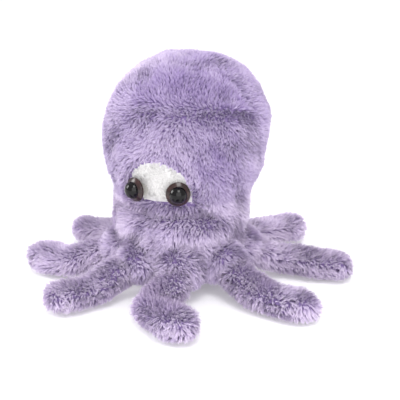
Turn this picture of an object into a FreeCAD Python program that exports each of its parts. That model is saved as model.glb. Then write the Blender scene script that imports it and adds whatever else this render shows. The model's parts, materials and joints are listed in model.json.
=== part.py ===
import FreeCAD, Part

import math
import os

# Plush octopus toy: a stuffed head that tips on its neck, a short skirt below it, and eight
# stuffed arms sewn round the skirt. Every fabric panel and every filling is its own solid.
# Lengths are in millimetres, angles in degrees. The toy stands on Z = 0 with its face towards
# -Y, so its own left side is +X.

Vector = FreeCAD.Vector

# Fabric and clearances
PLUSH = 2.6  # pile fabric, measured to the middle of the pile
FILL_GAP = 0.2  # between a filling and the fabric round it
MOVE_GAP = 0.4  # between pieces that move against each other
POST_FIT = 0.05  # round an eye's post
BIG = 400.0  # side of the blocks that divide a shell into panels

# Neck joint: the head tips on a ball of filling
NECK_Z = 44.0
NECK_RADIUS = 37.1
NECK_BALL_RADIUS = 20.0
HEAD_CAVITY_TOP = 56.0

# Head, as level ovals: height, half width, half depth, and how far the oval lies behind the neck
HEAD_OVALS = [
    (44.0, 41.2, 40.8, 0.0),
    (50.0, 40.2, 39.8, 0.8),
    (56.0, 40.6, 40.2, 2.5),
    (64.0, 44.2, 43.4, 5.8),
    (74.0, 48.0, 47.4, 9.0),
    (86.0, 49.9, 49.8, 11.0),
    (98.0, 49.6, 50.0, 11.6),
    (108.0, 46.8, 47.6, 12.3),
    (118.0, 41.4, 42.4, 13.6),
    (125.5, 34.6, 35.8, 15.6),
    (131.0, 27.0, 28.2, 18.0),
    (134.6, 19.4, 20.4, 20.4),
    (136.6, 12.0, 12.6, 22.2),
    (137.4, 5.5, 5.5, 23.0),
]

HEAD_CLOSING_OVALS = 2  # the last ovals, which close the top
HEAD_TOP_SLOPE = 0.7  # share of the fabric that counts in height above the side seam's start
HEAD_LEAST_RADIUS = 2.5
BROW_OVAL = HEAD_OVALS[7]

# Head seams
BROW_SEAM_FRONT_Z = 108.0
BROW_SEAM_FALL = 8.0  # degrees that the brow seam falls towards the back
SIDE_SEAM_Y = -3.0  # side seam at the top of the head
SIDE_SEAM_Z = 128.0
SIDE_SEAM_LEAN = 11.0  # degrees that the side seam runs backwards on its way down

# White face patch: an arch, seen from the front
PATCH_FOOT_Z = 58.0
PATCH_TOP_Z = 83.0
PATCH_HALF_WIDTH = 19.5

# Safety eyes
EYE_X = 13.1
EYE_Z = 64.5
EYE_TURN = 25.0  # degrees that each eye looks outwards
EYE_RADIUS = 7.0
EYE_RIM = 0.8
EYE_DOME = 2.8
PUPIL_RADIUS = 4.9
PUPIL_SEAT = 1.4  # depth of the pupil's seat below the iris rim
PUPIL_TOP = 6.8
POST_RADIUS = 1.9
POST_LENGTH = 8.5
POST_END_GAP = 0.3
WASHER_RADIUS = 5.5
WASHER_THICKNESS = 1.2
WASHER_DEPTH = 1.6  # how far behind the fabric the washer's front lies
WASHER_BACK_Z = -PLUSH - WASHER_DEPTH - WASHER_THICKNESS  # counted from the eye's seat
WASHER_POCKET_GAP = 1.6  # behind the washer, in the filling

# Skirt and base
SKIRT_TOP_Z = 47.0
SKIRT_WAIST_Z = 35.0
SKIRT_FLARE_Z = 31.0
SKIRT_NECK_STEPS = 4
SKIRT_RADIUS = 37.4
SKIRT_HEM_Z = 10.6
SKIRT_HEM_RADIUS = 36.6
BASE_FLAT_RADIUS = 22.0
BASE_RIM_RADIUS = 36.0
BASE_RIM_Z = 8.0
BASE_RIM_CURL = 0.6  # how far the rim leans in up to the hem
BASE_FILLING_INSET = 2.4  # the filling's edge inside the rim

# Arms
ARM_ROOT_R = 36.0
ARM_ROOT_Z = 18.5
ARM_SOCKET_RADIUS = 12.3  # room that the arm's round root turns in
ARM_TAIL_R = 27.0  # the arm's filling starts here, inside its socket
ARM_TAIL_Z = 20.5
ARM_FIRST_ANGLE = 22.5
ARM_STEP = 45.0

# Each arm's centre line beyond its root: distance from the toy's axis, angle from the face
# (positive towards the toy's left), and height. Side 1 is the toy's left, -1 its right.
ARM_ROUTES = {
    "left_arm_1": [(49, 16.5, 14), (62, 11, 9.6), (77, 12.5, 9), (88, 19, 9), (92.5, 28, 9)],
    "left_arm_2": [(54, 64, 12.5), (77, 63, 9), (91, 66, 9), (97.5, 72, 9)],
    "left_arm_3": [(56, 114.5, 12.5), (82, 110, 9), (105, 108.5, 9)],
    "left_arm_4": [(56, 159.5, 13), (84, 157, 9.8), (105, 148, 10)],
    "right_arm_1": [(50, -27, 14), (68, -26.5, 9.3), (82, -29, 9), (94.5, -32.5, 9)],
    "right_arm_2": [(56, -72, 12.5), (70, -70, 9.3), (81, -74, 9.4), (90, -82, 11.5)],
    "right_arm_3": [(56, -118, 12.8), (78, -117, 9.8), (98, -109, 10)],
    "right_arm_4": [(56, -160, 12.5), (78, -158, 9), (98, -150, 9)],
}

# Arm girth: distance from the root centre, half width, half height. Distances that are
# negative lie inside the socket, and those of ARM_TIP_GIRTH count back from the tip.
ARM_ROOT_GIRTH = [
    (-8.0, 6.4, 6.4),
    (-4.5, 9.2, 9.2),
    (0.0, 10.5, 10.5),
    (5.0, 10.8, 9.4),
    (13.0, 12.1, 9.1),
]
ARM_TIP_GIRTH = [(-22.0, 12.9, 8.5), (-6.0, 12.6, 8.3), (-1.8, 11.2, 7.0), (0.0, 8.6, 4.8)]
ARM_MID_GIRTH = (13.0, 8.6)
ARM_SECTION_STEP = 12.0
END_MARGIN = 1e-6  # keeps the last section just short of the line's end
HOLLOW_START = 45.0  # degrees: the hollow's ovals start away from the seams between the skins


def polar(radius, angle, z):
    """A point at a distance from the toy's axis, turned from the face towards its left."""
    turn = math.radians(angle)
    return Vector(radius * math.sin(turn), -radius * math.cos(turn), z)


def ring(centre, side, up, half_width, half_height, start=0.0, sweep=360.0):
    """An oval wire, or the upper or lower half of one closed by its seam line."""
    whole = sweep == 360.0
    steps = 12 if whole else 8
    points = []
    for step in range(steps if whole else steps + 1):
        turn = math.radians(start + sweep * step / steps)
        across = side * (half_width * math.cos(turn))
        points.append(centre + across + up * (half_height * math.sin(turn)))
    curve = Part.BSplineCurve()
    curve.interpolate(Points=points, PeriodicFlag=whole)
    edges = [curve.toShape()]
    if not whole:
        edges.append(Part.makeLine(points[-1], points[0]))
    return Part.Wire(edges)


def half_space(point, normal):
    """A block whose one face passes through a point; it lies on the side its normal names."""
    block = Part.makeBox(BIG, BIG, BIG, Vector(-BIG / 2, -BIG / 2, 0))
    block.Placement = FreeCAD.Placement(point, FreeCAD.Rotation(Vector(0, 0, 1), normal))
    return block


def ball(centre, radius):
    return Part.makeSphere(radius, centre)


def revolved(points):
    """A solid of revolution about the toy's axis from (radius, z) corners."""
    corners = [Vector(radius, 0, z) for radius, z in points]
    outline = Part.makePolygon(corners + [corners[0]])
    return Part.Face(outline).revolve(Vector(0, 0, 0), Vector(0, 0, 1), 360)


NECK_CENTRE = Vector(0, 0, NECK_Z)


# ---- Arms -------------------------------------------------------------------------------------


def arm_root_angle(name):
    side, number = name.split("_arm_")
    angle = ARM_FIRST_ANGLE + ARM_STEP * (int(number) - 1)
    return angle if side == "left" else -angle


def arm_line(name):
    """The arm's centre line, from inside its socket to its tip, and the root's distance along it."""
    angle = arm_root_angle(name)
    tail = polar(ARM_TAIL_R, angle, ARM_TAIL_Z)
    root = polar(ARM_ROOT_R, angle, ARM_ROOT_Z)
    curve = Part.BSplineCurve()
    curve.interpolate(Points=[tail, root] + [polar(*stop) for stop in ARM_ROUTES[name]])
    return curve, (root - tail).Length


def arm_girths(reach):
    """Distance, half width and half height along an arm that reaches this far past its root."""
    middle_start = ARM_ROOT_GIRTH[-1][0]
    middle_length = reach + ARM_TIP_GIRTH[0][0] - middle_start
    count = round(middle_length / ARM_SECTION_STEP)
    step = middle_length / (count + 1)
    middle = [(middle_start + step * (i + 1),) + ARM_MID_GIRTH for i in range(count)]
    tip = [(reach + back, half_width, half_height) for back, half_width, half_height in ARM_TIP_GIRTH]
    return ARM_ROOT_GIRTH + middle + tip


def arm_solid(name, shrink=0.0, start=0.0, sweep=360.0):
    """The arm's whole form, or one half of it, drawn in all round by shrink."""
    curve, root_at = arm_line(name)
    length = curve.length()
    girths = arm_girths(length - root_at)
    sections = []
    for index, (distance, half_width, half_height) in enumerate(girths):
        at = root_at + distance
        if index == 0:
            at += shrink
        if index == len(girths) - 1:
            at -= shrink
        if index == len(girths) - 2:
            at -= shrink / 2
        parameter = curve.parameterAtDistance(min(at, length - END_MARGIN), curve.FirstParameter)
        along = Vector(*curve.tangent(parameter)[0])
        side = along.cross(Vector(0, 0, 1)).normalize()
        up = side.cross(along).normalize()
        centre = curve.value(parameter)
        wide = half_width - shrink
        high = half_height - shrink
        sections.append(ring(centre, side, up, wide, high, start, sweep))
    return Part.makeLoft(sections, True, False)


def arm_pieces(name):
    hollow = arm_solid(name, PLUSH, HOLLOW_START)
    return {
        name + "_upper_skin": arm_solid(name, 0.0, 0.0, 180.0).cut(hollow),
        name + "_lower_skin": arm_solid(name, 0.0, 180.0, 180.0).cut(hollow),
        name + "_stuffing": arm_solid(name, PLUSH + FILL_GAP),
    }


def arm_sockets():
    """Room for the round roots of the arms, in everything that they are sewn to."""
    sockets = [
        ball(polar(ARM_ROOT_R, arm_root_angle(name), ARM_ROOT_Z), ARM_SOCKET_RADIUS)
        for name in ARM_ROUTES
    ]
    return sockets[0].multiFuse(sockets[1:])


# ---- Head -------------------------------------------------------------------------------------


def head_form(shrink):
    """The head's closed form, drawn in all round by shrink."""
    ovals = []
    for index, (z, half_width, half_depth, back) in enumerate(HEAD_OVALS):
        height = z
        if index >= len(HEAD_OVALS) - HEAD_CLOSING_OVALS:
            height -= shrink
        elif z > SIDE_SEAM_Z:
            height -= shrink * HEAD_TOP_SLOPE
        wide = max(half_width - shrink, HEAD_LEAST_RADIUS)
        deep = max(half_depth - shrink, HEAD_LEAST_RADIUS)
        ovals.append(ring(Vector(0, back, height), Vector(1, 0, 0), Vector(0, 1, 0), wide, deep))
    return Part.makeLoft(ovals, True, False)


def patch_block():
    """An arch-shaped block along Y that takes in the white patch, in front of the head only."""
    foot_left = Vector(-PATCH_HALF_WIDTH, -BIG / 2, PATCH_FOOT_Z)
    foot_right = Vector(PATCH_HALF_WIDTH, -BIG / 2, PATCH_FOOT_Z)
    top = Vector(0, -BIG / 2, PATCH_TOP_Z)
    arch = Part.Arc(foot_left, top, foot_right).toShape()
    foot = Part.makeLine(foot_right, foot_left)
    return Part.Face(Part.Wire([arch, foot])).extrude(Vector(0, BIG / 2, 0))


def side_seam_back():
    """Everything behind the side seams, which run down the head from ear to ear."""
    lean = math.radians(SIDE_SEAM_LEAN)
    return half_space(Vector(0, SIDE_SEAM_Y, SIDE_SEAM_Z), Vector(0, math.cos(lean), math.sin(lean)))


def above_brow():
    fall = math.radians(BROW_SEAM_FALL)
    front = BROW_OVAL[3] - BROW_OVAL[2]
    return half_space(Vector(0, front, BROW_SEAM_FRONT_Z), Vector(0, math.sin(fall), math.cos(fall)))


def eye_axis(side):
    turn = math.radians(EYE_TURN * side)
    return Vector(math.sin(turn), -math.cos(turn), 0)


def eye_seat(side, head):
    """Where an eye's back meets the fabric."""
    middle = Vector(EYE_X * side, 0, EYE_Z)
    ray = Part.makeLine(middle, middle - Vector(0, BIG / 4, 0))
    ends = [vertex.Point for vertex in ray.common(head).Vertexes]
    return min(ends, key=lambda point: point.y)


def along_axis(shape, seat, axis):
    """Move a shape built on Z so that it stands on an eye's seat and looks along its axis."""
    placed = shape.copy()
    placed.Placement = FreeCAD.Placement(seat, FreeCAD.Rotation(Vector(0, 0, 1), axis))
    return placed


def dome(foot_z, radius, height):
    """A round cap standing on Z = foot_z."""
    sphere_radius = (radius**2 + height**2) / (2 * height)
    sphere = ball(Vector(0, 0, foot_z + height - sphere_radius), sphere_radius)
    return sphere.common(Part.makeCylinder(radius + 1, height + 1, Vector(0, 0, foot_z)))


def eye_pieces(side_name, side, head):
    axis = eye_axis(side)
    seat = eye_seat(side, head)
    pupil_foot = EYE_RIM + EYE_DOME - PUPIL_SEAT
    pupil_shaft = Part.makeCylinder(PUPIL_RADIUS, PUPIL_SEAT, Vector(0, 0, pupil_foot))
    pupil_cap = dome(pupil_foot + PUPIL_SEAT, PUPIL_RADIUS, PUPIL_TOP - pupil_foot - PUPIL_SEAT)
    pupil = pupil_shaft.fuse(pupil_cap).removeSplitter()
    pupil_room = Part.makeCylinder(PUPIL_RADIUS, EYE_RADIUS, Vector(0, 0, pupil_foot))
    rim = Part.makeCylinder(EYE_RADIUS, EYE_RIM)
    iris = rim.fuse(dome(EYE_RIM, EYE_RADIUS, EYE_DOME)).cut(pupil_room).removeSplitter()
    post = Part.makeCylinder(POST_RADIUS, POST_LENGTH, Vector(0, 0, -POST_LENGTH))
    washer = Part.makeCylinder(WASHER_RADIUS, WASHER_THICKNESS, Vector(0, 0, WASHER_BACK_Z))
    washer = washer.cut(Part.makeCylinder(POST_RADIUS, BIG, Vector(0, 0, -BIG / 2)))
    pieces = {"_eye_iris": iris, "_eye_pupil": pupil, "_eye_post": post, "_eye_washer": washer}
    return {side_name + name: along_axis(shape, seat, axis) for name, shape in pieces.items()}


def eye_rooms(head):
    """Seats, post holes and washer pockets that the eyes need in the fabric and the filling."""
    room_radius = WASHER_RADIUS + FILL_GAP
    room_foot = Vector(0, 0, WASHER_BACK_Z - FILL_GAP / 2)
    seat_room = Part.makeCylinder(EYE_RADIUS + FILL_GAP, BIG / 4)
    hole = Part.makeCylinder(POST_RADIUS + POST_FIT, BIG / 4, Vector(0, 0, -POST_LENGTH - POST_END_GAP))
    washer_room = Part.makeCylinder(room_radius, WASHER_THICKNESS + FILL_GAP, room_foot)
    pocket_foot = Vector(0, 0, WASHER_BACK_Z - WASHER_POCKET_GAP)
    filling_pocket = Part.makeCylinder(room_radius, BIG / 4, pocket_foot)
    fabric_rooms = []
    filling_rooms = []
    for side in (1, -1):
        axis = eye_axis(side)
        seat = eye_seat(side, head)
        fabric_rooms.append(along_axis(seat_room.fuse(hole), seat, axis))
        fabric_rooms.append(along_axis(washer_room, seat, axis))
        filling_rooms.append(along_axis(filling_pocket.fuse(hole), seat, axis))
    return fabric_rooms, filling_rooms


def head_pieces():
    form = head_form(0.0)
    neck = ball(NECK_CENTRE, NECK_RADIUS + MOVE_GAP)
    fabric_rooms, filling_rooms = eye_rooms(form)
    shell = form.cut(head_form(PLUSH)).cut(neck)
    for room in fabric_rooms:
        shell = shell.cut(room)
    behind = side_seam_back()
    above = above_brow()
    patch = patch_block()
    front = shell.cut(behind)
    back = shell.common(behind)
    cavity = neck.common(half_space(Vector(0, 0, HEAD_CAVITY_TOP), Vector(0, 0, -1)))
    filling = head_form(PLUSH + FILL_GAP).cut(cavity).cut(ball(NECK_CENTRE, NECK_BALL_RADIUS + MOVE_GAP))
    for room in filling_rooms:
        filling = filling.cut(room)
    pieces = {
        "crown_panel": front.common(above),
        "forehead_panel": front.cut(above).cut(patch),
        "face_patch": front.common(patch),
        "back_left_panel": back.common(half_space(Vector(0, 0, 0), Vector(1, 0, 0))),
        "back_right_panel": back.common(half_space(Vector(0, 0, 0), Vector(-1, 0, 0))),
        "head_stuffing": filling,
    }
    pieces.update(eye_pieces("left", 1, form))
    pieces.update(eye_pieces("right", -1, form))
    return pieces


# ---- Skirt and base ---------------------------------------------------------------------------


def neck_zone_radius(z, radius):
    return math.sqrt(radius**2 - (z - NECK_Z) ** 2)


def skirt_form(shrink, hem_z):
    """The skirt's solid of revolution: round where the head slides over it, then a little wider."""
    zone = []
    for step in range(SKIRT_NECK_STEPS + 1):
        z = SKIRT_TOP_Z + (SKIRT_WAIST_Z - SKIRT_TOP_Z) * step / SKIRT_NECK_STEPS
        zone.append((neck_zone_radius(z, NECK_RADIUS) - shrink, z))
    lower = [(SKIRT_RADIUS - shrink, SKIRT_FLARE_Z), (SKIRT_RADIUS - shrink, ARM_ROOT_Z)]
    hem = [(SKIRT_HEM_RADIUS - shrink, hem_z), (0, hem_z)]
    return revolved([(0, SKIRT_TOP_Z)] + zone + lower + hem)


def quarter(signs):
    sign_x, sign_y = signs
    return half_space(Vector(0, 0, 0), Vector(sign_x, 0, 0)).common(
        half_space(Vector(0, 0, 0), Vector(0, sign_y, 0))
    )


def skirt_pieces():
    sockets = arm_sockets()
    shell = skirt_form(0.0, SKIRT_HEM_Z).cut(skirt_form(PLUSH, -BIG / 4)).cut(sockets)
    shell = shell.cut(half_space(Vector(0, 0, SKIRT_TOP_Z), Vector(0, 0, 1)))
    quarters = {
        "front_left": (1, -1),
        "front_right": (-1, -1),
        "back_left": (1, 1),
        "back_right": (-1, 1),
    }
    pieces = {"skirt_" + name: shell.common(quarter(signs)) for name, signs in quarters.items()}
    base = revolved([
        (0, 0),
        (BASE_FLAT_RADIUS, 0),
        (BASE_RIM_RADIUS, BASE_RIM_Z),
        (BASE_RIM_RADIUS - BASE_RIM_CURL, SKIRT_HEM_Z),
        (BASE_FLAT_RADIUS - BASE_RIM_CURL, PLUSH),
        (0, PLUSH),
    ])
    pieces["base_panel"] = base.cut(sockets)
    filling = skirt_form(PLUSH + FILL_GAP, SKIRT_HEM_Z)
    belly = revolved([
        (0, PLUSH + FILL_GAP),
        (BASE_FLAT_RADIUS - BASE_RIM_CURL - MOVE_GAP, PLUSH + FILL_GAP),
        (BASE_RIM_RADIUS - BASE_FILLING_INSET, SKIRT_HEM_Z),
        (0, SKIRT_HEM_Z),
    ])
    neck_ball = ball(NECK_CENTRE, NECK_BALL_RADIUS)
    pieces["skirt_stuffing"] = filling.fuse(belly).fuse(neck_ball).cut(sockets).removeSplitter()
    return pieces


def main():
    os.makedirs("parts", exist_ok=True)
    pieces = {}
    pieces.update(head_pieces())
    pieces.update(skirt_pieces())
    for name in ARM_ROUTES:
        pieces.update(arm_pieces(name))
    for name, shape in pieces.items():
        shape.exportStep("parts/" + name + ".step")
        solids = shape.Solids
        print(name, "valid", shape.isValid(), "solids", len(solids), "volume", round(shape.Volume, 1))


main()
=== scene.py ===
import json
import math

import bpy
import numpy as np
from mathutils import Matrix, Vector
from mathutils.bvhtree import BVHTree


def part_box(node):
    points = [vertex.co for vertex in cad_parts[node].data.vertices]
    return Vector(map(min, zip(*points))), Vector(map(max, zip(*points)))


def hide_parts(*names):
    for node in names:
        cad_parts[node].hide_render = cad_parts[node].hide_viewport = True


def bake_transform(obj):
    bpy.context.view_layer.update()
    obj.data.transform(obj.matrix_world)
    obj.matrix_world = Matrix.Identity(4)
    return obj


# A lilac plush octopus toy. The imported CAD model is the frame; the fabric, its pile, the white
# face fleece and the finish of the eyes are made here. Everything is in metres.

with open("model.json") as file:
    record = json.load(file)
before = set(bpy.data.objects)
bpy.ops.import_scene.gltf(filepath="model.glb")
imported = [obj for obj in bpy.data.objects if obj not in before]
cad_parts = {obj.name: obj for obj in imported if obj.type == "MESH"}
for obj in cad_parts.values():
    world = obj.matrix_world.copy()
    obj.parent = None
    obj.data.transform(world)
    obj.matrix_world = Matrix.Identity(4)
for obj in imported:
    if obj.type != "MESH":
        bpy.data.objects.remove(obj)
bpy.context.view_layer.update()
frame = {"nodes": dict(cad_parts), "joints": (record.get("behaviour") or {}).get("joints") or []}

MM = 0.001
UP = np.array([0.0, 0.0, 1.0])
DOWN = np.array([0.0, 0.0, -1.0])
SIDES = ("left", "right")
ARMS = [side + "_arm_" + str(number) for side in SIDES for number in (1, 2, 3, 4)]
HEAD_PANELS = ["crown_panel", "forehead_panel", "face_patch", "back_left_panel", "back_right_panel"]
SKIRT_PANELS = ["skirt_front_left", "skirt_front_right", "skirt_back_left", "skirt_back_right"]
BODY_PANELS = HEAD_PANELS + SKIRT_PANELS + ["base_panel"]
PANEL_NUMBER = {node: number for number, node in enumerate(BODY_PANELS)}
JOINTS = {joint["name"]: joint for joint in frame["joints"]}

# Fabric
FORM_VOXEL = 3.0 * MM
FABRIC_OUT = 1.5 * MM  # from a filling's surface to the fabric's backing, where the pile starts
PUFF_CAP = 1.6 * MM  # how far pressure may push the fabric
PUFF_EXPECTED = 0.7  # share of that cap which is taken off the fabric before it swells
PUFF_FRAMES = 20
FLOOR_CLEARANCE = 1.0 * MM  # backing above the floor
PILE_CLEARANCE = 0.15 * MM  # pile above the floor
SEAM_WIDTH = 1.5 * MM
BODY_SEAM_DEPTH = 0.6 * MM
BODY_SEAM_HOLD = 3.0 * MM  # how far from a seam the fabric is held while it swells
BODY_LUMPS = 0.45 * MM
BODY_LUMP_SIZE = 19.0 * MM
BODY_SMOOTHING = 6
BROW_SEAM_SWELL = 0.6  # the brow's seam stands out by this share of a seam's depth
BROW_REACH = 6.0 * MM
BROW_FRONT_Y = -10.0 * MM
PATCH_LIFT = 0.3 * MM
ARM_SEAM_DEPTH = 1.3 * MM
ARM_SEAM_HOLD = 1.5 * MM
ARM_SEAM_WANDER = 0.6 * MM
ARM_WANDER_SIZE = 18.0 * MM
ARM_LUMPS = 0.35 * MM
ARM_LUMP_SIZE = 14.0 * MM
ARM_SMOOTHING = 3

# Bends and fillings that only the visual model has
SOCKET_FILL = 12.0 * MM  # fabric bulge over each arm's root
COLLAR_RADIUS = 28.0 * MM  # ring of filling that carries the skirt's fabric up under the head
COLLAR_FILL = 9.6 * MM
COLLAR_Z = 41.0 * MM
COLLAR_BALLS = 28

# An arm's centre line
LINE_STEP = 2.0 * MM
LINE_STEPS = 80
SLICE_HALF = 1.5 * MM
SLICE_RADIUS = 12.5 * MM
SLICE_LEAST = 8  # points that a slice needs; the arm ends where it has fewer
ROOT_FALL = 0.25  # how much the line heads down as it leaves the root

# Pile blades
BLADES_PER_TUFT = 5
TUFTS_PER_MM2 = 1.05
BLADE_WIDTH = 0.36 * MM
TUFT_RADIUS = 0.55 * MM
ROOT_SINK = 0.25 * MM
SPINE_SHARES = (0.38, 0.72, 1.0)  # heights of a blade's two joints and its tip
SPINE_BENDS = (0.55, 1.0, 1.2)  # share of the lean that each stretch takes
SPINE_GATHERS = (0.25, 0.65, 1.0)  # how much each stretch draws in to the tuft's middle
GATHER_DIVISOR = 2.2
BLADE_TAPERS = (0.8, 1.0, 0.7)
BLADE_CORNERS = 7
BLADE_FACES = (0, 4, 8)  # where each of a blade's three faces starts in its loops
BLADE_LOOPS = 11
LENGTH_RANGE = (0.75, 1.15)
WIDTH_RANGE = (0.7, 1.25)
MEET_RANGE = (0.45, 0.9)  # how far a blade comes in towards the middle of its tuft
TUFT_LEAN_SPREAD = 0.15
BLADE_LEAN_SPREAD = 0.10
TUFT_SWAY_SPREAD = 0.22
BLADE_SWAY_SPREAD = 0.14
BLADE_TWIST_SPREAD = 0.22
FLOW_SPREAD = 0.18
BLADE_SHADE_SPREAD = 0.06
TUFT_SHADE_SPREAD = 0.08
BROAD_PAINTED_SHEEN = 0.07  # broad patches of painted sheen and shade
BROAD_SHEEN_SIZE = 26.0 * MM
FLECK_SHADE = 0.05
FLECK_SIZE = 7.0 * MM
PILE_WAVE_SIZE = 9.0 * MM  # patches of longer and shorter pile
LEAN_WAVE = 0.08
SHADE_SLOT = 0.004  # half the width that one blade takes on the shade map
SHADE_EDGE = 0.01  # the shade map is used from here to 1 less this

# How the arms' pile lies
ARM_ROOT_BARE = 9.5 * MM  # no pile this close to a hinge, under the skirt's own
ARM_PILE = 4.7 * MM
ARM_PILE_WAVE = 0.4 * MM
ARM_FRINGE = 1.0 * MM  # longer pile along the side seam
ARM_FRINGE_REACH = 2.4 * MM
ARM_FRINGE_HEIGHT = 0.5 * MM
ARM_FLANK = 11.0 * MM
ARM_UNDER_Z = 5.0 * MM
ARM_UNDER_NORMAL = -0.4  # faces that look down more than this are the underside
ARM_UNDER_PILE = 3.2 * MM
ARM_LEAN = 0.72
ARM_LEAN_WAVE_SIZE = 6.0 * MM
FRINGE_UPRIGHT = 0.15
ARM_ALONG = 0.9  # parts of the pile's direction: towards the tip, down, and out from the flanks
ARM_DOWN = 0.75
ARM_OUT = 0.5
ARM_UNRULY = 0.32
ARM_UNRULY_SIZE = 11.0 * MM
# Painted light: the arms' pile is made paler, in place of light that reaches them less
ARM_PAINTED_LIGHT = 0.40
FRINGE_PALENESS = 0.16

# How the head's and skirt's pile lies
HEAD_PILE = 3.9 * MM
SKIRT_PILE = 4.9 * MM
BASE_PILE = 2.4 * MM
BODY_PILE_WAVE = 0.4 * MM
HEAD_LEAN = 0.72
SKIRT_LEAN = 0.62
BODY_LEAN_WAVE_SIZE = 7.0 * MM
HEAD_UNRULY = 0.4
SKIRT_UNRULY = 0.8
BODY_UNRULY_SIZE = 13.0 * MM
BODY_FLARE = 0.25  # how much the hanging pile heads outwards
SEAM_UPRIGHT = 0.2  # how much less the pile leans along a seam
SEAM_UPRIGHT_REACH = 2.2 * MM
BEHIND_COMB = np.array([0.0, 0.7, -0.8])
BROW_COMB = np.array([-0.5, -0.1, -0.6])
CROWN_COMB = np.array([0.0, 0.8, 0.6])
COMB_TURN = 16.0 * MM  # from the brow's seam to where the crown's pile lies back
HEAD_MIDDLE_Z = 88 * MM
# Painted light: the skirt's pile is made paler, in place of light it gets less of
SKIRT_PAINTED_LIGHT = 0.25
# Painted shade: the crown's pile is made darker
CROWN_PAINTED_SHADE = 0.24
CROWN_FADE = 14.0 * MM  # the crown's painted shade deepens over this distance from its seams
# Painted sheen and shade, where the pile's lay would catch more or less light: centre, reach, how much paler
# or darker
PAINTED_SHEEN_SPOTS = [
    ((0.036, -0.028, 0.083), 0.014, -0.34),
    ((0.012, 0.000, 0.129), 0.024, -0.20),
    ((-0.030, -0.006, 0.123), 0.019, 0.30),
    ((-0.020, -0.040, 0.105), 0.012, -0.14),
    ((0.005, -0.040, 0.054), 0.012, 0.12),
]

# Round the white patch and the eyes
PATCH_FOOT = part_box("face_patch")[0].z  # below this the pile is longer and curlier
PATCH_RIM = 3.0 * MM  # the lilac pile this close is combed in over the patch's edge
RIM_FLOW = 0.5  # share of its own direction that this pile keeps
PATCH_SHORT_REACH = 4.0 * MM
PATCH_SHORT_PILE = 3.4 * MM
CHIN_DROP = 9.0 * MM  # below the patch's foot, where the pile turns from standing up to hanging
CHIN_RISE = 0.3  # share of that drop by which the chin reaches above the foot
CHIN_HALF_WIDTH = 24.0 * MM
CHIN_LEAN = 0.6  # upwards at the patch's foot and down where the chin ends
EYE_BARE = 7.0 * MM  # no lilac pile this close to the middle of an eye
EYE_BARE_FLEECE = 6.6 * MM
FLEECE_TUFTS_PER_MM2 = 1.6
FLEECE_PILE = 1.3 * MM
FLEECE_LEAN = 0.8
FLEECE_BLADE_WIDTH = 0.3 * MM
FLEECE_TUFT_RADIUS = 0.5 * MM
FLEECE_EDGE = 1.6 * MM
FLEECE_UNRULY = 0.6
FLEECE_UNRULY_SIZE = 6.0 * MM
FLEECE_SHADE_WAVE = 0.2
FLEECE_SHADE_SIZE = 4.0 * MM

# Seeds: each draw takes its group's first seed or one of the next few
LUMPS_SEED = 5
PALENESS_SEED = 11
BODY_SEED = 21
BODY_PILE_SEED = 30
FLEECE_SEED = 41
ARM_SEED = 100
ARM_SEED_STEP = 20


# ---- Numbers and noise --------------------------------------------------------------------------


def unit(vectors):
    return vectors / np.maximum(np.linalg.norm(vectors, axis=-1, keepdims=True), 1e-12)


def dots(a, b):
    return np.einsum("...i,...i->...", a, b)


def bump(distance, reach):
    """1 where the distance is nothing, fading out beyond the reach."""
    return np.exp(-((distance / reach) ** 2))


def on_surface(vectors, normals):
    """The part of each vector that lies along the surface, as a unit vector."""
    return unit(vectors - normals * dots(vectors, normals)[:, None])


def turned(vectors, axes, angles):
    """Each vector turned about its unit axis."""
    c = np.cos(angles)[:, None]
    s = np.sin(angles)[:, None]
    return vectors * c + np.cross(axes, vectors) * s + axes * (dots(axes, vectors)[:, None] * (1 - c))


def waves(points, size, seed, count=7):
    """Smooth noise, about -1 to 1, whose patches are this size."""
    rng = np.random.default_rng(seed)
    directions = unit(rng.normal(size=(count, 3))) * (math.pi / size)
    directions *= rng.uniform(0.6, 1.5, size=(count, 1))
    phases = rng.uniform(0, 2 * math.pi, size=count)
    return np.sin(points @ directions.T + phases).sum(1) / math.sqrt(count / 2)


# ---- Meshes -------------------------------------------------------------------------------------


def points_of(mesh):
    out = np.zeros(len(mesh.vertices) * 3, np.float32)
    mesh.vertices.foreach_get("co", out)
    return out.reshape(-1, 3).astype(float)


def normals_of(mesh):
    out = np.zeros(len(mesh.vertices) * 3, np.float32)
    mesh.vertex_normals.foreach_get("vector", out)
    return out.reshape(-1, 3).astype(float)


def set_points(mesh, points):
    mesh.vertices.foreach_set("co", points.astype(np.float32).ravel())
    mesh.update()


def triangles_of(mesh):
    mesh.calc_loop_triangles()
    out = np.zeros(len(mesh.loop_triangles) * 3, np.int32)
    mesh.loop_triangles.foreach_get("vertices", out)
    return out.reshape(-1, 3)


def new_object(name, mesh):
    made = bpy.data.objects.new(name, mesh)
    bpy.context.scene.collection.objects.link(made)
    return made


def mesh_from(name, points, faces):
    mesh = bpy.data.meshes.new(name)
    mesh.from_pydata([tuple(p) for p in points], [], faces)
    mesh.update()
    return mesh


def settled(obj):
    """Applies every modifier of an object."""
    graph = bpy.context.evaluated_depsgraph_get()
    mesh = bpy.data.meshes.new_from_object(obj.evaluated_get(graph))
    obj.modifiers.clear()
    obj.data = mesh
    mesh.name = obj.name
    return obj


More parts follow.
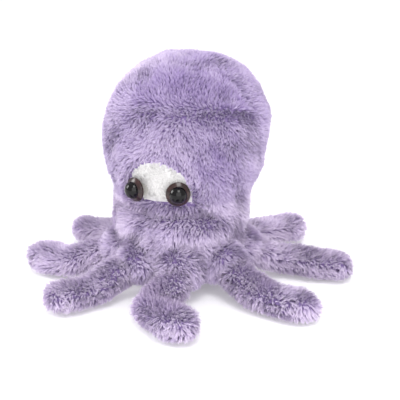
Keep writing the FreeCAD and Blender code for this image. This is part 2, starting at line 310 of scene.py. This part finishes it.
def largest_part(obj):
    """Drops all but the connected part with the largest box."""
    mesh = obj.data
    edges = np.zeros(len(mesh.edges) * 2, np.int32)
    mesh.edges.foreach_get("vertices", edges)
    edges = edges.reshape(-1, 2)
    label = np.arange(len(mesh.vertices))
    while True:
        low = np.minimum(label[edges[:, 0]], label[edges[:, 1]])
        before = label.copy()
        np.minimum.at(label, edges[:, 0], low)
        np.minimum.at(label, edges[:, 1], low)
        label = label[label]
        if (label == before).all():
            break
    points = points_of(mesh)
    best = max(np.unique(label), key=lambda k: np.ptp(points[label == k], axis=0).sum())
    keep = label == best
    index = np.cumsum(keep) - 1
    faces = [[int(index[v]) for v in p.vertices] for p in mesh.polygons if keep[p.vertices[0]]]
    obj.data = mesh_from(obj.name, points[keep], faces)
    return obj


def remeshed(name, nodes, balls=()):
    """One even, closed mesh round some CAD solids and balls."""
    points = []
    faces = []
    total = 0
    for node in nodes:
        mesh = frame["nodes"][node].data
        points.append(points_of(mesh))
        faces.append(triangles_of(mesh) + total)
        total += len(points[-1])
    for centre, radius in balls:
        bpy.ops.mesh.primitive_ico_sphere_add(subdivisions=4, radius=radius, location=centre)
        ball = bpy.context.object
        points.append(points_of(ball.data) + np.array(centre))
        faces.append(triangles_of(ball.data) + total)
        total += len(points[-1])
        bpy.data.objects.remove(ball)
    made = new_object(name, mesh_from(name, np.concatenate(points), np.concatenate(faces).tolist()))
    voxels = made.modifiers.new("Voxels", "REMESH")
    voxels.mode = "VOXEL"
    voxels.voxel_size = FORM_VOXEL
    settled(made)
    return largest_part(made)


def smoothed(obj, rounds):
    smooth = obj.modifiers.new("Smooth", "SMOOTH")
    smooth.iterations = rounds
    smooth.factor = 0.5
    return settled(obj)


def subdivided(obj, levels):
    finer = obj.modifiers.new("Finer", "SUBSURF")
    finer.levels = levels
    finer.render_levels = levels
    return settled(obj)


def pushed(obj, distance):
    mesh = obj.data
    set_points(mesh, points_of(mesh) + normals_of(mesh) * distance)
    return obj


def puffed(obj, held):
    """Lets a stuffing's pressure fill the fabric, which stays put along its seams."""
    start = points_of(obj.data)
    group = obj.vertex_groups.new(name="Seams")
    for index in np.flatnonzero(held > 0.02):
        group.add([int(index)], float(min(1.0, held[index])), "REPLACE")
    cloth = obj.modifiers.new("Cloth", "CLOTH")
    settings = cloth.settings
    settings.quality = 5
    settings.mass = 0.2
    settings.tension_stiffness = 12
    settings.compression_stiffness = 12
    settings.bending_stiffness = 0.4
    settings.use_pressure = True
    settings.uniform_pressure_force = 4
    settings.effector_weights.gravity = 0
    settings.vertex_group_mass = "Seams"
    settings.pin_stiffness = 1
    cloth.collision_settings.use_collision = False
    cloth.collision_settings.use_self_collision = False
    scene = bpy.context.scene
    for number in range(1, PUFF_FRAMES + 1):
        scene.frame_set(number)
    settled(obj)
    scene.frame_set(1)
    obj.vertex_groups.clear()
    moved = points_of(obj.data) - start
    reach = np.linalg.norm(moved, axis=1, keepdims=True)
    moved *= np.minimum(1.0, PUFF_CAP / np.maximum(reach, 1e-9))
    set_points(obj.data, start + moved)
    return obj


def above_floor(obj):
    points = points_of(obj.data)
    points[:, 2] = np.maximum(points[:, 2], FLOOR_CLEARANCE)
    set_points(obj.data, points)
    return obj


def shaded_smooth(mesh):
    mesh.polygons.foreach_set("use_smooth", np.ones(len(mesh.polygons), bool))
    mesh.update()


def tree_of(node):
    mesh = frame["nodes"][node].data
    return BVHTree.FromPolygons(points_of(mesh).tolist(), triangles_of(mesh).tolist())


def panel_distances(points, trees):
    """Distance from each point to each panel."""
    out = np.zeros((len(points), len(trees)))
    for row, point in enumerate(points.tolist()):
        for column, tree in enumerate(trees):
            out[row, column] = tree.find_nearest(point)[3]
    return out


def seam_gap(away):
    """How much further off the second nearest panel is than the nearest: nothing on a seam."""
    ranked = np.sort(away, axis=1)
    return ranked[:, 1] - ranked[:, 0]


def beside(away, node):
    """Whether this panel is the second nearest to each point."""
    return np.sort(away, axis=1)[:, 1] == away[:, PANEL_NUMBER[node]]


def is_on(home, *nodes):
    """Whether each point's nearest panel is one of these."""
    return np.isin(home, [PANEL_NUMBER[node] for node in nodes])


# ---- Materials ----------------------------------------------------------------------------------


def srgb(red, green, blue):
    """A screen colour, each part 0 to 255, turned into linear light."""
    out = []
    for value in (red, green, blue):
        share = value / 255
        out.append(share / 12.92 if share <= 0.04045 else ((share + 0.055) / 1.055) ** 2.4)
    return (*out, 1.0)


def material(name, roughness, sheen=0.0, sheen_roughness=0.5, specular=0.5):
    """A new material, with its node tree and its shader."""
    made = bpy.data.materials.new(name)
    made.use_nodes = True
    shader = made.node_tree.nodes["Principled BSDF"]
    shader.inputs["Roughness"].default_value = roughness
    shader.inputs["Sheen Weight"].default_value = sheen
    shader.inputs["Sheen Roughness"].default_value = sheen_roughness
    shader.inputs["Specular IOR Level"].default_value = specular
    return made, made.node_tree, shader


def ramp(tree, source, stops):
    """The colour that a value picks from a row of stops."""
    node = tree.nodes.new("ShaderNodeValToRGB")
    while len(node.color_ramp.elements) < len(stops):
        node.color_ramp.elements.new(0.5)
    for element, (place, colour) in zip(node.color_ramp.elements, stops):
        element.position = place
        element.color = colour
    tree.links.new(source, node.inputs["Fac"])
    return node.outputs["Color"]


def pile_material(name, dull, bright, roughness, sheen):
    """Pile whose blades are darker at the root, as painted shade deep in the pile; the shade map says how
    pale each blade is.
    """
    made, tree, shader = material(name, roughness, sheen, sheen_roughness=0.45, specular=0.25)
    place = tree.nodes.new("ShaderNodeUVMap")
    place.uv_map = "OFBake"
    split = tree.nodes.new("ShaderNodeSeparateXYZ")
    tree.links.new(place.outputs["UV"], split.inputs["Vector"])
    along = split.outputs["Y"]
    mix = tree.nodes.new("ShaderNodeMix")
    mix.data_type = "RGBA"
    tree.links.new(split.outputs["X"], mix.inputs["Factor"])
    tree.links.new(ramp(tree, along, dull), mix.inputs["A"])
    tree.links.new(ramp(tree, along, bright), mix.inputs["B"])
    tree.links.new(mix.outputs["Result"], shader.inputs["Base Color"])
    return made


def mottled(name, low, high, scale, detail, spread, roughness, sheen=0.0, specular=0.5):
    """A material that wanders between two colours, with its node tree, shader and noise."""
    made, tree, shader = material(name, roughness, sheen, specular=specular)
    noise = tree.nodes.new("ShaderNodeTexNoise")
    noise.inputs["Scale"].default_value = scale
    noise.inputs["Detail"].default_value = detail
    where = tree.nodes.new("ShaderNodeTexCoord")
    tree.links.new(where.outputs["Object"], noise.inputs["Vector"])
    stops = [(0.5 - spread, low), (0.5 + spread, high)]
    tree.links.new(ramp(tree, noise.outputs["Fac"], stops), shader.inputs["Base Color"])
    return made, tree, shader, noise


def cloth_material(name, low, high, scale):
    """Knitted backing that shows between the pile."""
    look = mottled(name, low, high, scale, detail=4, spread=0.15, roughness=0.95, sheen=0.3)
    made, tree, shader, noise = look
    bump_node = tree.nodes.new("ShaderNodeBump")
    bump_node.inputs["Strength"].default_value = 0.5
    bump_node.inputs["Distance"].default_value = 0.2 * MM
    tree.links.new(noise.outputs["Fac"], bump_node.inputs["Height"])
    tree.links.new(bump_node.outputs["Normal"], shader.inputs["Normal"])
    return made


def plastic(name, low, high, roughness, shine, scale):
    """Moulded plastic with faint swirls of colour."""
    return mottled(name, low, high, scale, 2, spread=0.2, roughness=roughness, specular=shine)[0]


# Each ramp runs from root to tip; the darker roots are painted shade
LILAC_PILE = pile_material(
    "Lilac pile",
    [
        (0.0, srgb(108, 86, 142)),
        (0.4, srgb(138, 116, 170)),
        (0.8, srgb(160, 140, 190)),
        (1.0, srgb(172, 153, 199)),
    ],
    [
        (0.0, srgb(176, 156, 198)),
        (0.4, srgb(206, 190, 222)),
        (0.8, srgb(228, 215, 237)),
        (1.0, srgb(235, 225, 242)),
    ],
    roughness=0.62,
    sheen=0.35,
)
# The backing cloth's own colour, made darker as painted shade between the pile
LILAC_BACKING = cloth_material("Lilac backing", srgb(122, 101, 152), srgb(144, 124, 172), 900)
# The slightly darker roots are painted shade
WHITE_PILE = pile_material(
    "White fleece pile",
    [(0.0, srgb(214, 212, 212)), (1.0, srgb(226, 225, 225))],
    [(0.0, srgb(222, 220, 220)), (1.0, srgb(232, 231, 231))],
    roughness=0.8,
    sheen=0.3,
)
WHITE_BACKING = cloth_material("White fleece backing", srgb(218, 216, 216), srgb(230, 229, 229), 700)
BROWN_PLASTIC = plastic("Brown eye plastic", srgb(28, 15, 16), srgb(58, 34, 34), 0.2, 0.5, scale=260)
BLACK_PLASTIC = plastic("Black eye plastic", srgb(5, 4, 6), srgb(11, 10, 13), 0.04, 0.3, scale=200)
WASHER_PLASTIC = plastic("Washer plastic", srgb(196, 194, 188), srgb(214, 212, 206), 0.5, 0.5, scale=300)


# ---- Pile ---------------------------------------------------------------------------------------


def scattered(mesh, per_mm2, seed):
    """Random points on a mesh, and the normals there."""
    rng = np.random.default_rng(seed)
    points = points_of(mesh)
    normals = normals_of(mesh)
    corners = triangles_of(mesh)
    a = points[corners[:, 0]]
    b = points[corners[:, 1]]
    c = points[corners[:, 2]]
    area = np.linalg.norm(np.cross(b - a, c - a), axis=1) / 2
    count = int(area.sum() / MM**2 * per_mm2)
    chosen = np.searchsorted(np.cumsum(area), (np.arange(count) + rng.random(count)) / count * area.sum())
    chosen = np.minimum(chosen, len(area) - 1)
    u = np.sqrt(rng.random(count))
    v = rng.random(count)
    weights = np.stack([1 - u, u * (1 - v), u * v], 1)[:, :, None]
    spots = (np.stack([a, b, c], 1)[chosen] * weights).sum(1)
    tilts = (normals[corners[chosen]] * weights).sum(1)
    return spots, unit(tilts)


def blade_spines(rng, spots, normals, flow, length, lean, radius):
    """Four points up each blade, from its root to its tip, and the direction across it."""
    count = len(spots)
    n = np.repeat(normals, BLADES_PER_TUFT, 0)
    d = np.repeat(flow, BLADES_PER_TUFT, 0)
    s = np.cross(n, d)
    total = len(n)
    turn = rng.uniform(0, 2 * math.pi, total)
    away = radius * np.sqrt(rng.random(total))
    offset = d * (away * np.cos(turn))[:, None] + s * (away * np.sin(turn))[:, None]
    size = np.repeat(length, BLADES_PER_TUFT) * rng.uniform(*LENGTH_RANGE, total)
    tuft_lean = lean + rng.normal(0, TUFT_LEAN_SPREAD, count)
    tilt = np.repeat(tuft_lean, BLADES_PER_TUFT) + rng.normal(0, BLADE_LEAN_SPREAD, total)
    tuft_sway = rng.normal(0, TUFT_SWAY_SPREAD, count)
    sway = np.repeat(tuft_sway, BLADES_PER_TUFT) + rng.normal(0, BLADE_SWAY_SPREAD, total)
    d = unit(d + s * sway[:, None])
    meet = rng.uniform(*MEET_RANGE, total)[:, None]
    spine = [np.repeat(spots, BLADES_PER_TUFT, 0) + offset - n * ROOT_SINK]
    start = 0.0
    for share, bend, gather in zip(SPINE_SHARES, SPINE_BENDS, SPINE_GATHERS):
        angle = tilt * bend
        step = n * (np.cos(angle) * size)[:, None] + d * (np.sin(angle) * size)[:, None]
        spine.append(spine[-1] + step * (share - start) - offset * meet * (gather / GATHER_DIVISOR))
        start = share
    across = unit(np.cross(d, n) + rng.normal(0, BLADE_TWIST_SPREAD, (total, 3)))
    return spine, across


def blade_corners(rng, spine, across, width):
    """Seven corners of each blade: three pairs up the spine, then the tip."""
    half = width / 2 * rng.uniform(*WIDTH_RANGE, len(across))[:, None]
    rows = []
    for centre, taper in zip(spine[:3], BLADE_TAPERS):
        rows.append(centre - across * half * taper)
        rows.append(centre + across * half * taper)
    rows.append(spine[3])
    corners = np.stack(rows, 1).reshape(-1, 3)
    corners[:, 2] = np.maximum(corners[:, 2], PILE_CLEARANCE)
    return corners


def blade_loops(total):
    """The corners round each blade's two quads and its tip."""
    base = np.arange(total)[:, None] * BLADE_CORNERS
    return np.concatenate([base + [0, 1, 3, 2], base + [2, 3, 5, 4], base + [4, 5, 6]], 1).ravel()


def shade_places(rng, pale, loops):
    """Where each corner lies on the shade map: across by paleness, up from root to tip."""
    total = len(pale) * BLADES_PER_TUFT
    shade = np.repeat(pale, BLADES_PER_TUFT) + rng.normal(0, BLADE_SHADE_SPREAD, total)
    shade = np.clip(shade, SHADE_EDGE, 1 - SHADE_EDGE)
    pair = [shade - SHADE_SLOT, shade + SHADE_SLOT]
    u = np.stack(pair * 3 + [shade], 1)
    middle, top, _ = SPINE_SHARES
    v = np.tile([SHADE_EDGE, SHADE_EDGE, middle, middle, top, top, 1 - SHADE_EDGE], (total, 1))
    return np.stack([u.ravel()[loops], v.ravel()[loops]], 1)


def pile(name, spots, normals, flow, length, lean, pale, seed, look, width=BLADE_WIDTH, radius=TUFT_RADIUS):
    """Tufts of tapering blades. Each tuft leans along its flow and its blades meet near the tips."""
    rng = np.random.default_rng(seed)
    spine, across = blade_spines(rng, spots, normals, flow, length, lean, radius)
    corners = blade_corners(rng, spine, across, width)
    total = len(across)
    loops = blade_loops(total)
    starts = np.arange(total)[:, None] * BLADE_LOOPS + list(BLADE_FACES)
    mesh = bpy.data.meshes.new(name)
    mesh.vertices.add(len(corners))
    mesh.vertices.foreach_set("co", corners.astype(np.float32).ravel())
    mesh.loops.add(len(loops))
    mesh.loops.foreach_set("vertex_index", loops.astype(np.int32))
    mesh.polygons.add(starts.size)
    mesh.polygons.foreach_set("loop_start", starts.astype(np.int32).ravel())
    mesh.polygons.foreach_set("use_smooth", np.ones(starts.size, bool))
    places = shade_places(rng, pale, loops)
    mesh.uv_layers.new(name="OFBake").data.foreach_set("uv", places.astype(np.float32).ravel())
    mesh.update(calc_edges=True)
    mesh.materials.append(look)
    return new_object(name, mesh)


def wandering(flow, normals, spots, amount, size, seed):
    """Flow turned about the normal by smooth noise and a little chance."""
    rng = np.random.default_rng(seed)
    angles = amount * waves(spots, size, seed + 50) + rng.normal(0, FLOW_SPREAD, len(spots))
    return turned(flow, normals, angles)


def paleness(spots, seed):
    """How pale each tuft is: broad patches of painted sheen and shade, smaller flecks, and chance."""
    rng = np.random.default_rng(seed)
    broad = BROAD_PAINTED_SHEEN * waves(spots, BROAD_SHEEN_SIZE, PALENESS_SEED)
    small = FLECK_SHADE * waves(spots, FLECK_SIZE, PALENESS_SEED + 1)
    return np.clip(0.5 + broad + small + rng.normal(0, TUFT_SHADE_SPREAD, len(spots)), 0, 1)


# ---- Arms ---------------------------------------------------------------------------------------


def root_point(name):
    return np.array(JOINTS[name + "_lift"]["pos_m"])


def outward(name):
    root = root_point(name)
    return unit(np.array([root[0], root[1], 0.0]))


def centre_line(name):
    """Points along the middle of an arm, from its hinge to its tip."""
    solid = points_of(frame["nodes"][name + "_stuffing"].data)
    point = root_point(name)
    heading = unit(outward(name) - ROOT_FALL * UP)
    line = [point]
    for _ in range(LINE_STEPS):
        probe = point + heading * LINE_STEP
        beyond = solid - probe
        in_slice = np.abs(beyond @ heading) < SLICE_HALF
        near = in_slice & (np.linalg.norm(beyond, axis=1) < SLICE_RADIUS)
        if near.sum() < SLICE_LEAST:
            break
        side = unit(np.cross(heading, UP))
        up = np.cross(side, heading)
        across = beyond[near] @ side
        above = beyond[near] @ up
        middle = probe + side * (across.min() + across.max()) / 2 + up * (above.min() + above.max()) / 2
        heading = unit(heading + unit(middle - point))
        line.append(middle)
        point = middle
    return np.array(line)


def arm_frame(line, spots):
    """For points near an arm: its heading there, its side and up directions, and the way from its middle."""
    nearest = ((spots[:, None, :] - line[None, :, :]) ** 2).sum(2).argmin(1)
    headings = unit(np.gradient(line, axis=0))[nearest]
    side = unit(np.cross(headings, UP[None, :]))
    up = np.cross(side, headings)
    return headings, side, up, spots - line[nearest]


def arm_form(name, line, seed):
    """An arm's fabric, swollen by its stuffing and drawn in along the side seams."""
    form = remeshed(name + "_plush", [name + "_stuffing"])
    smoothed(form, ARM_SMOOTHING)
    pushed(form, FABRIC_OUT - PUFF_CAP * PUFF_EXPECTED)
    _, _, up, beyond = arm_frame(line, points_of(form.data))
    puffed(form, bump(dots(beyond, up), ARM_SEAM_HOLD))
    subdivided(form, 2)
    points = points_of(form.data)
    _, _, up, beyond = arm_frame(line, points)
    off_seam = dots(beyond, up) - ARM_SEAM_WANDER * waves(points, ARM_WANDER_SIZE, seed)
    dent = ARM_SEAM_DEPTH * bump(off_seam, SEAM_WIDTH)
    lumps = ARM_LUMPS * waves(points, ARM_LUMP_SIZE, seed + 1)
    set_points(form.data, points + normals_of(form.data) * (lumps - dent)[:, None])
    above_floor(form)
    shaded_smooth(form.data)
    form.data.materials.append(LILAC_BACKING)
    return form


def arm_pile(name, line, form, seed):
    """An arm's pile, combed along it and down its flanks, with a paler fringe at the side seams."""
    spots, normals = scattered(form.data, TUFTS_PER_MM2, seed + 2)
    outside = np.linalg.norm(spots - root_point(name), axis=1) > ARM_ROOT_BARE
    spots, normals = spots[outside], normals[outside]
    headings, side, up, beyond = arm_frame(line, spots)
    height = dots(beyond, up)
    across = dots(beyond, side)
    flank = np.clip(np.abs(across) / ARM_FLANK, 0, 1)
    flow = headings * ARM_ALONG - up * ARM_DOWN + side * (np.sign(across) * ARM_OUT * flank)[:, None]
    flow = wandering(on_surface(flow, normals), normals, spots, ARM_UNRULY, ARM_UNRULY_SIZE, seed + 3)
    seam = bump(height - ARM_FRINGE_HEIGHT, ARM_FRINGE_REACH)
    length = ARM_PILE + ARM_PILE_WAVE * waves(spots, PILE_WAVE_SIZE, seed + 4) + ARM_FRINGE * seam
    lean = ARM_LEAN + LEAN_WAVE * waves(spots, ARM_LEAN_WAVE_SIZE, seed + 5) - FRINGE_UPRIGHT * seam
    under = (spots[:, 2] < ARM_UNDER_Z) & (normals[:, 2] < ARM_UNDER_NORMAL)
    length = np.where(under, ARM_UNDER_PILE, length)
    # The arms are made paler as painted light; the seam fringe is paler still
    pale = paleness(spots, seed + 6) + ARM_PAINTED_LIGHT + FRINGE_PALENESS * seam
    return pile(name + "_pile", spots, normals, flow, length, lean, pale, seed + 7, LILAC_PILE)


def arm(name, seed):
    line = centre_line(name)
    form = arm_form(name, line, seed)
    fur = arm_pile(name, line, form, seed)
    for piece in (form, fur):
        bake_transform(piece)
    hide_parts(name + "_upper_skin", name + "_lower_skin", name + "_stuffing")


# ---- Head and skirt -----------------------------------------------------------------------------


def split_off(obj, name, wanted):
    """Moves the faces whose corners are all wanted to an object of their own."""
    mesh = obj.data
    points = points_of(mesh)
    inside = [list(p.vertices) for p in mesh.polygons if wanted[list(p.vertices)].all()]
    outside = [list(p.vertices) for p in mesh.polygons if not wanted[list(p.vertices)].all()]
    parts = []
    for title, faces in ((name, inside), (obj.name, outside)):
        used = np.unique(np.concatenate(faces))
        index = np.full(len(points), -1)
        index[used] = np.arange(len(used))
        parts.append(mesh_from(title, points[used], [[int(index[v]) for v in f] for f in faces]))
    obj.data = parts[1]
    return new_object(name, parts[0])


def extra_filling():
    """Balls of filling over the arms' roots and in a ring under the head."""
    balls = [(tuple(root_point(name)), SOCKET_FILL) for name in ARMS]
    for turn in np.arange(COLLAR_BALLS) * (2 * math.pi / COLLAR_BALLS):
        place = (COLLAR_RADIUS * math.cos(turn), COLLAR_RADIUS * math.sin(turn), COLLAR_Z)
        balls.append((place, COLLAR_FILL))
    return balls


def body_form(trees):
    """The fabric of the head and skirt, and which of its points the white patch has."""
    form = remeshed("head_and_skirt_plush", ["head_stuffing", "skirt_stuffing"], extra_filling())
    smoothed(form, BODY_SMOOTHING)
    pushed(form, FABRIC_OUT - PUFF_CAP * PUFF_EXPECTED)
    puffed(form, bump(seam_gap(panel_distances(points_of(form.data), trees)), BODY_SEAM_HOLD))
    subdivided(form, 1)
    points = points_of(form.data)
    away = panel_distances(points, trees)
    is_patch = is_on(away.argmin(1), "face_patch")
    dent = BODY_SEAM_DEPTH * bump(seam_gap(away), SEAM_WIDTH)
    dent = np.where(is_patch | beside(away, "face_patch"), 0.0, dent)
    by_brow = (away[:, PANEL_NUMBER["crown_panel"]] < BROW_REACH) & (points[:, 1] < BROW_FRONT_Y)
    dent = np.where(by_brow, -BROW_SEAM_SWELL * dent, dent)
    lumps = BODY_LUMPS * waves(points, BODY_LUMP_SIZE, LUMPS_SEED)
    swell = np.where(is_patch, PATCH_LIFT, lumps)
    set_points(form.data, points + normals_of(form.data) * (swell - dent)[:, None])
    above_floor(form)
    shaded_smooth(form.data)
    return form, is_patch


def chin_fall(spots):
    """How far down the chin each spot is: 0 at the patch's foot, 1 where the chin ends."""
    return (PATCH_FOOT - spots[:, 2]) / CHIN_DROP


def on_chin(spots):
    fall = chin_fall(spots)
    in_front = (spots[:, 1] < 0) & (np.abs(spots[:, 0]) < CHIN_HALF_WIDTH)
    return in_front & (fall > -CHIN_RISE) & (fall < 1)


def body_flow(spots, tilts, away):
    """How the pile is combed: down all round, back over the crown, and in over the patch's rim."""
    home = away.argmin(1)
    flow = DOWN + BODY_FLARE * unit(spots * [1.0, 1.0, 0.0])
    behind = is_on(home, "back_left_panel", "back_right_panel")
    flow = np.where(behind[:, None], BEHIND_COMB, flow)
    turned_back = np.clip(away[:, PANEL_NUMBER["forehead_panel"]] / COMB_TURN, 0, 1)[:, None]
    over_crown = BROW_COMB * (1 - turned_back) + CROWN_COMB * turned_back
    flow = np.where(is_on(home, "crown_panel")[:, None], over_crown, flow)
    patch_low, patch_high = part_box("face_patch")
    toward_patch = unit(np.array((patch_low + patch_high) / 2) - spots)
    by_patch = (away[:, PANEL_NUMBER["face_patch"]] < PATCH_RIM) & ~on_chin(spots)
    flow = np.where(by_patch[:, None], RIM_FLOW * flow + toward_patch, flow)
    unruly = np.where(spots[:, 2] < PATCH_FOOT, SKIRT_UNRULY, HEAD_UNRULY)
    return wandering(on_surface(flow, tilts), tilts, spots, unruly, BODY_UNRULY_SIZE, BODY_SEED + 1)


def body_length(spots, away):
    length = np.where(spots[:, 2] < PATCH_FOOT, SKIRT_PILE, HEAD_PILE)
    length = length + BODY_PILE_WAVE * waves(spots, PILE_WAVE_SIZE, BODY_SEED + 2)
    length = np.where(is_on(away.argmin(1), "base_panel"), BASE_PILE, length)
    by_patch = (away[:, PANEL_NUMBER["face_patch"]] < PATCH_SHORT_REACH) & ~on_chin(spots)
    return np.where(by_patch, np.minimum(length, PATCH_SHORT_PILE), length)


def body_lean(spots, away):
    lean = np.where(spots[:, 2] < PATCH_FOOT, SKIRT_LEAN, HEAD_LEAN)
    lean = lean + LEAN_WAVE * waves(spots, BODY_LEAN_WAVE_SIZE, BODY_SEED + 3)
    along_seam = bump(seam_gap(away), SEAM_UPRIGHT_REACH)
    lean -= np.where(beside(away, "face_patch"), 0.0, SEAM_UPRIGHT) * along_seam
    chin_lean = CHIN_LEAN * (2 * np.clip(chin_fall(spots), 0, 1) - 1)
    return np.where(on_chin(spots), chin_lean, lean)


def body_paleness(spots, away):
    pale = paleness(spots, BODY_SEED + 4)
    # Painted light on the skirt
    pale += np.where(spots[:, 2] < PATCH_FOOT, SKIRT_PAINTED_LIGHT, 0.0)
    # Painted shade on the crown
    inside_panel = np.clip(seam_gap(away) / CROWN_FADE, 0, 1)
    pale -= np.where(is_on(away.argmin(1), "crown_panel"), CROWN_PAINTED_SHADE * inside_panel, 0.0)
    # Painted sheen and shade in spots
    for centre, reach, amount in PAINTED_SHEEN_SPOTS:
        pale += amount * bump(np.linalg.norm(spots - np.array(centre), axis=1), reach)
    return pale


def off_eyes(spots, clearance):
    """Whether each spot is further than this from the middle of both eyes."""
    clear = np.ones(len(spots), bool)
    for side in SIDES:
        low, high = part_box(side + "_eye_iris")
        clear &= np.linalg.norm(spots - np.array((low + high) / 2), axis=1) > clearance
    return clear


def pile_groups(spots, home):
    """Which spots belong to each piece of pile. No piece is too large to export whole."""
    left = spots[:, 0] > 0
    front = spots[:, 1] < 0
    upper = spots[:, 2] > HEAD_MIDDLE_Z
    forehead = is_on(home, "forehead_panel")
    skirt = is_on(home, "base_panel", *SKIRT_PANELS)
    groups = {"crown_pile": is_on(home, "crown_panel")}
    groups["forehead_left_pile"] = forehead & left
    groups["forehead_right_pile"] = forehead & ~left
    for side in SIDES:
        back = is_on(home, "back_" + side + "_panel")
        groups["back_" + side + "_upper_pile"] = back & upper
        groups["back_" + side + "_lower_pile"] = back & ~upper
    for place, there in (("front", front), ("back", ~front)):
        groups["skirt_" + place + "_left_pile"] = skirt & there & left
        groups["skirt_" + place + "_right_pile"] = skirt & there & ~left
    return groups


def body_piles(form, trees):
    """The lilac pile of the head and skirt."""
    spots, tilts = scattered(form.data, TUFTS_PER_MM2, BODY_SEED)
    away = panel_distances(spots, trees)
    home = away.argmin(1)
    flow = body_flow(spots, tilts, away)
    length = body_length(spots, away)
    lean = body_lean(spots, away)
    pale = body_paleness(spots, away)
    keep = off_eyes(spots, EYE_BARE) & ~is_on(home, "face_patch")
    made = []
    for number, (name, chosen) in enumerate(pile_groups(spots, home).items()):
        pick = chosen & keep
        lie = (spots[pick], tilts[pick], flow[pick], length[pick], lean[pick], pale[pick])
        made.append(pile(name, *lie, BODY_PILE_SEED + number, LILAC_PILE))
    return made


def fleece_pile(patch, trees):
    """The short white pile of the face patch."""
    spots, tilts = scattered(patch.data, FLEECE_TUFTS_PER_MM2, FLEECE_SEED)
    flow = on_surface(DOWN, tilts)
    flow = wandering(flow, tilts, spots, FLEECE_UNRULY, FLEECE_UNRULY_SIZE, FLEECE_SEED + 1)
    clear = seam_gap(panel_distances(spots, trees)) > FLEECE_EDGE
    clear &= off_eyes(spots, EYE_BARE_FLEECE)
    spots, tilts, flow = spots[clear], tilts[clear], flow[clear]
    length = np.full(len(spots), FLEECE_PILE)
    lean = np.full(len(spots), FLEECE_LEAN)
    pale = 0.5 + FLEECE_SHADE_WAVE * waves(spots, FLEECE_SHADE_SIZE, FLEECE_SEED + 2)
    lie = (spots, tilts, flow, length, lean, pale)
    seed = FLEECE_SEED + 3
    return pile("face_fleece_pile", *lie, seed, WHITE_PILE, FLEECE_BLADE_WIDTH, FLEECE_TUFT_RADIUS)


def body():
    trees = [tree_of(node) for node in BODY_PANELS]
    form, is_patch = body_form(trees)
    lilac = [form] + body_piles(form, trees)
    patch = split_off(form, "face_fleece", is_patch)
    shaded_smooth(form.data)
    shaded_smooth(patch.data)
    form.data.materials.append(LILAC_BACKING)
    patch.data.materials.append(WHITE_BACKING)
    white = [patch, fleece_pile(patch, trees)]
    for piece in lilac + white:
        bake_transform(piece)
    replaced = [node for node in BODY_PANELS if node != "face_patch"]
    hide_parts(*replaced, "head_stuffing", "skirt_stuffing")
    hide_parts("face_patch")


# ---- Eyes ---------------------------------------------------------------------------------------


EYE_LOOKS = {
    "_eye_iris": BROWN_PLASTIC,
    "_eye_pupil": BLACK_PLASTIC,
    "_eye_post": WASHER_PLASTIC,
    "_eye_washer": WASHER_PLASTIC,
}


def finish_eyes():
    for side in SIDES:
        for part, look in EYE_LOOKS.items():
            node = frame["nodes"][side + part]
            node.data.materials.clear()
            node.data.materials.append(look)
            shaded_smooth(node.data)


# ---- Studio -------------------------------------------------------------------------------------

LOOK_AT = Vector((11.77, 2.28, 50.0)) * MM
CAMERA_AZIMUTH = math.radians(21)
CAMERA_ELEVATION = math.radians(17)
CAMERA_DISTANCE = 0.570
FLOOR_HALF = 6.0
# Name, azimuth and elevation in degrees, distance, size, watts
SOFTBOXES = [
    ("Key", 35, 58, 1.6, 0.7, 10),
    ("Side", -75, 26, 1.6, 0.7, 12),
    ("Front", 30, 14, 2.4, 2.6, 40),
]


def direction(azimuth, elevation):
    """Towards a place seen from the toy: azimuth 0 is in front of the face, positive to its left."""
    flat = math.cos(elevation)
    return Vector((math.sin(azimuth) * flat, -math.cos(azimuth) * flat, math.sin(elevation)))


def camera():
    data = bpy.data.cameras.new("Camera")
    data.lens = 85
    data.sensor_width = 36
    made = bpy.data.objects.new("Camera", data)
    towards = direction(CAMERA_AZIMUTH, CAMERA_ELEVATION)
    made.location = LOOK_AT + towards * CAMERA_DISTANCE
    made.rotation_euler = (-towards).to_track_quat("-Z", "Y").to_euler()
    bpy.context.scene.collection.objects.link(made)
    bpy.context.scene.camera = made


def softbox(name, azimuth, elevation, distance, size, watts):
    data = bpy.data.lights.new(name, "AREA")
    data.shape = "SQUARE"
    data.size = size
    data.energy = watts
    made = bpy.data.objects.new(name, data)
    away = direction(math.radians(azimuth), math.radians(elevation))
    made.location = LOOK_AT + away * distance
    made.rotation_euler = (-away).to_track_quat("-Z", "Y").to_euler()
    bpy.context.scene.collection.objects.link(made)


def studio():
    corners = [(-1, -1, 0), (1, -1, 0), (1, 1, 0), (-1, 1, 0)]
    mesh = mesh_from("floor", np.array(corners) * FLOOR_HALF, [[0, 1, 2, 3]])
    floor = new_object("floor", mesh)
    look, _, shader = material("Pale floor", 0.9)
    shader.inputs["Base Color"].default_value = (0.93, 0.93, 0.935, 1)
    shader.inputs["Emission Color"].default_value = (1, 1, 1, 1)
    shader.inputs["Emission Strength"].default_value = 0.22
    floor.data.materials.append(look)
    world = bpy.data.worlds.new("Studio")
    world.use_nodes = True
    background = world.node_tree.nodes["Background"]
    background.inputs["Color"].default_value = (1, 1, 1, 1)
    background.inputs["Strength"].default_value = 0.78
    bpy.context.scene.world = world
    for box in SOFTBOXES:
        softbox(*box)
    bpy.context.scene.view_settings.view_transform = "Standard"


camera()
studio()
body()
for order, arm_name in enumerate(ARMS):
    arm(arm_name, ARM_SEED + ARM_SEED_STEP * order)
finish_eyes()
